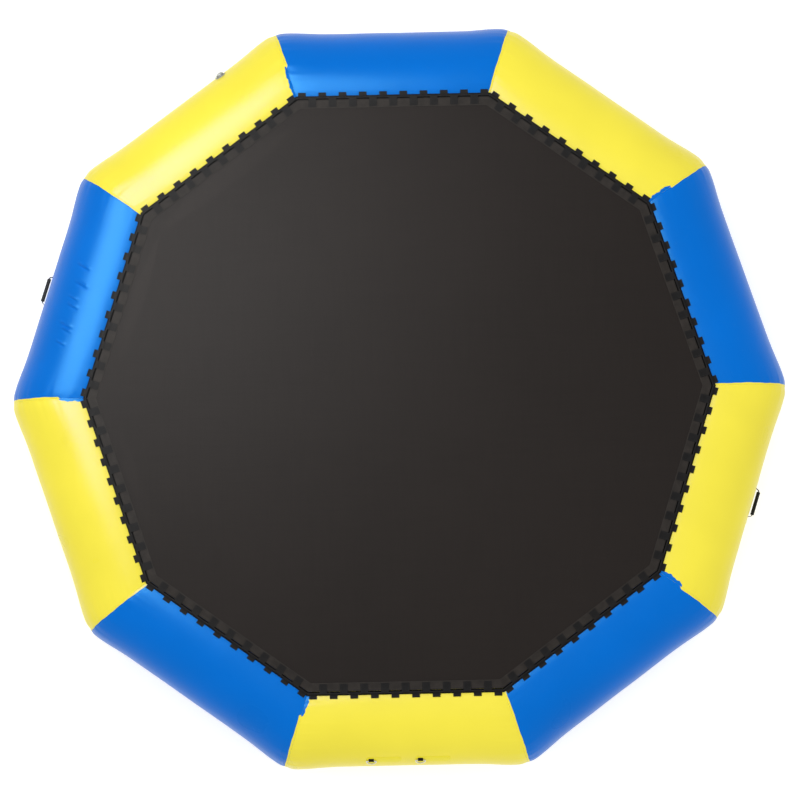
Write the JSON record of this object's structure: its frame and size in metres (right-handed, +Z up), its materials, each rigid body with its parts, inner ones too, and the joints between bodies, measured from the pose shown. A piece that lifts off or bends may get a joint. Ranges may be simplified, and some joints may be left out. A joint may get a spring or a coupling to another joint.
{
  "type": "water bouncer",
  "caption": "Inflatable many-sided ring in alternating blue and yellow with a dark jump mat laced inside it, grab handles, ladder rings, mooring rings and an air valve.",
  "frame": {"origin": "centre of the ring at the level that it rests on", "axes": "+Z up, +X towards a corner of the ring, which is its longest width"},
  "size_m": [4.572, 4.3482, 0.61],
  "materials": {
    "pvc_blue": "glossy coated PVC",
    "pvc_yellow": "glossy coated PVC",
    "webbing_black": "woven webbing",
    "cord_black": "braided cord",
    "mat_fabric": "close-woven mat fabric",
    "grip_rubber": "moulded grip",
    "ring_steel": "stainless wire",
    "valve_plastic": "moulded",
    "spring_steel": "stainless wire",
    "cap_plastic": "moulded",
    "tether_rubber": "moulded"
  },
  "bodies": {
    "ring": {"tube_segment_01": "pvc_blue", "tube_segment_02": "pvc_yellow", "tube_segment_03": "pvc_blue", "tube_segment_04": "pvc_yellow", "tube_segment_05": "pvc_blue", "tube_segment_06": "pvc_yellow", "tube_segment_07": "pvc_blue", "tube_segment_08": "pvc_yellow", "tube_segment_09": "pvc_blue", "tube_segment_10": "pvc_yellow", "lacing_rail_01": "webbing_black", "lacing_rail_02": "webbing_black", "lacing_rail_03": "webbing_black", "lacing_rail_04": "webbing_black", "lacing_rail_05": "webbing_black", "lacing_rail_06": "webbing_black", "lacing_rail_07": "webbing_black", "lacing_rail_08": "webbing_black", "lacing_rail_09": "webbing_black", "lacing_rail_10": "webbing_black", "mat_hem": "webbing_black", "lacing_cord": "cord_black", "grab_patch_1": "pvc_blue", "grab_strap_1": "webbing_black", "grab_grip_1": "grip_rubber", "grab_patch_2": "pvc_yellow", "grab_strap_2": "webbing_black", "grab_grip_2": "grip_rubber", "ladder_patch_1": "pvc_yellow", "ladder_keeper_1": "webbing_black", "ladder_patch_2": "pvc_yellow", "ladder_keeper_2": "webbing_black", "mooring_patch_1": "webbing_black", "mooring_patch_2": "webbing_black", "mooring_patch_3": "webbing_black", "mooring_patch_4": "webbing_black", "valve_body": "valve_plastic", "valve_nut": "valve_plastic", "valve_spring": "spring_steel", "cap_tether": "tether_rubber"},
    "jump_mat_body": {"jump_mat": "mat_fabric"},
    "valve_cap_body": {"valve_cap": "cap_plastic"},
    "valve_stem_body": {"valve_stem": "valve_plastic"},
    "ladder_ring_1_body": {"ladder_ring_1": "ring_steel"},
    "ladder_ring_2_body": {"ladder_ring_2": "ring_steel"},
    "mooring_ring_1_body": {"mooring_ring_1": "ring_steel"},
    "mooring_ring_2_body": {"mooring_ring_2": "ring_steel"},
    "mooring_ring_3_body": {"mooring_ring_3": "ring_steel"},
    "mooring_ring_4_body": {"mooring_ring_4": "ring_steel"}
  },
  "joints": [
    {"name": "mat_bounce", "type": "slide", "parent": "ring", "child": "jump_mat_body", "axis": [0, 0, 1], "range_m": [-0.35, 0.05], "stiffness_N_per_m": 5000, "deforming": ["jump_mat"]},
    {"name": "valve_cap_turn", "type": "hinge", "parent": "ring", "child": "valve_cap_body", "pos_m": [-1.02156, 1.91645, 0.42172], "axis": [-0.543, 0.7474, 0.3827], "range_deg": [0, 90]},
    {"name": "valve_stem_press", "type": "slide", "parent": "ring", "child": "valve_stem_body", "axis": [-0.543, 0.7474, 0.3827], "range_m": [-0.004, 0], "stiffness_N_per_m": 400, "springref_m": 0.002, "deforming": ["valve_spring"]},
    {"name": "ladder_ring_1_swing", "type": "hinge", "parent": "ring", "child": "ladder_ring_1_body", "pos_m": [-0.208, -2.13943, 0.46107], "axis": [-1, 0, 0], "range_deg": [0, 170]},
    {"name": "ladder_ring_2_swing", "type": "hinge", "parent": "ring", "child": "ladder_ring_2_body", "pos_m": [0.078, -2.13943, 0.46107], "axis": [-1, 0, 0], "range_deg": [0, 170]},
    {"name": "mooring_ring_1_swing", "type": "hinge", "parent": "ring", "child": "mooring_ring_1_body", "pos_m": [1.22837, 1.6907, 0.08429], "axis": [0.809, -0.5878, 0], "range_deg": [-43, 125]},
    {"name": "mooring_ring_2_swing", "type": "hinge", "parent": "ring", "child": "mooring_ring_2_body", "pos_m": [-1.22837, 1.6907, 0.08429], "axis": [0.809, 0.5878, 0], "range_deg": [-43, 125]},
    {"name": "mooring_ring_3_swing", "type": "hinge", "parent": "ring", "child": "mooring_ring_3_body", "pos_m": [-1.22837, -1.6907, 0.08429], "axis": [-0.809, 0.5878, 0], "range_deg": [-43, 125]},
    {"name": "mooring_ring_4_swing", "type": "hinge", "parent": "ring", "child": "mooring_ring_4_body", "pos_m": [1.22837, -1.6907, 0.08429], "axis": [-0.809, -0.5878, 0], "range_deg": [-43, 125]}
  ]
}
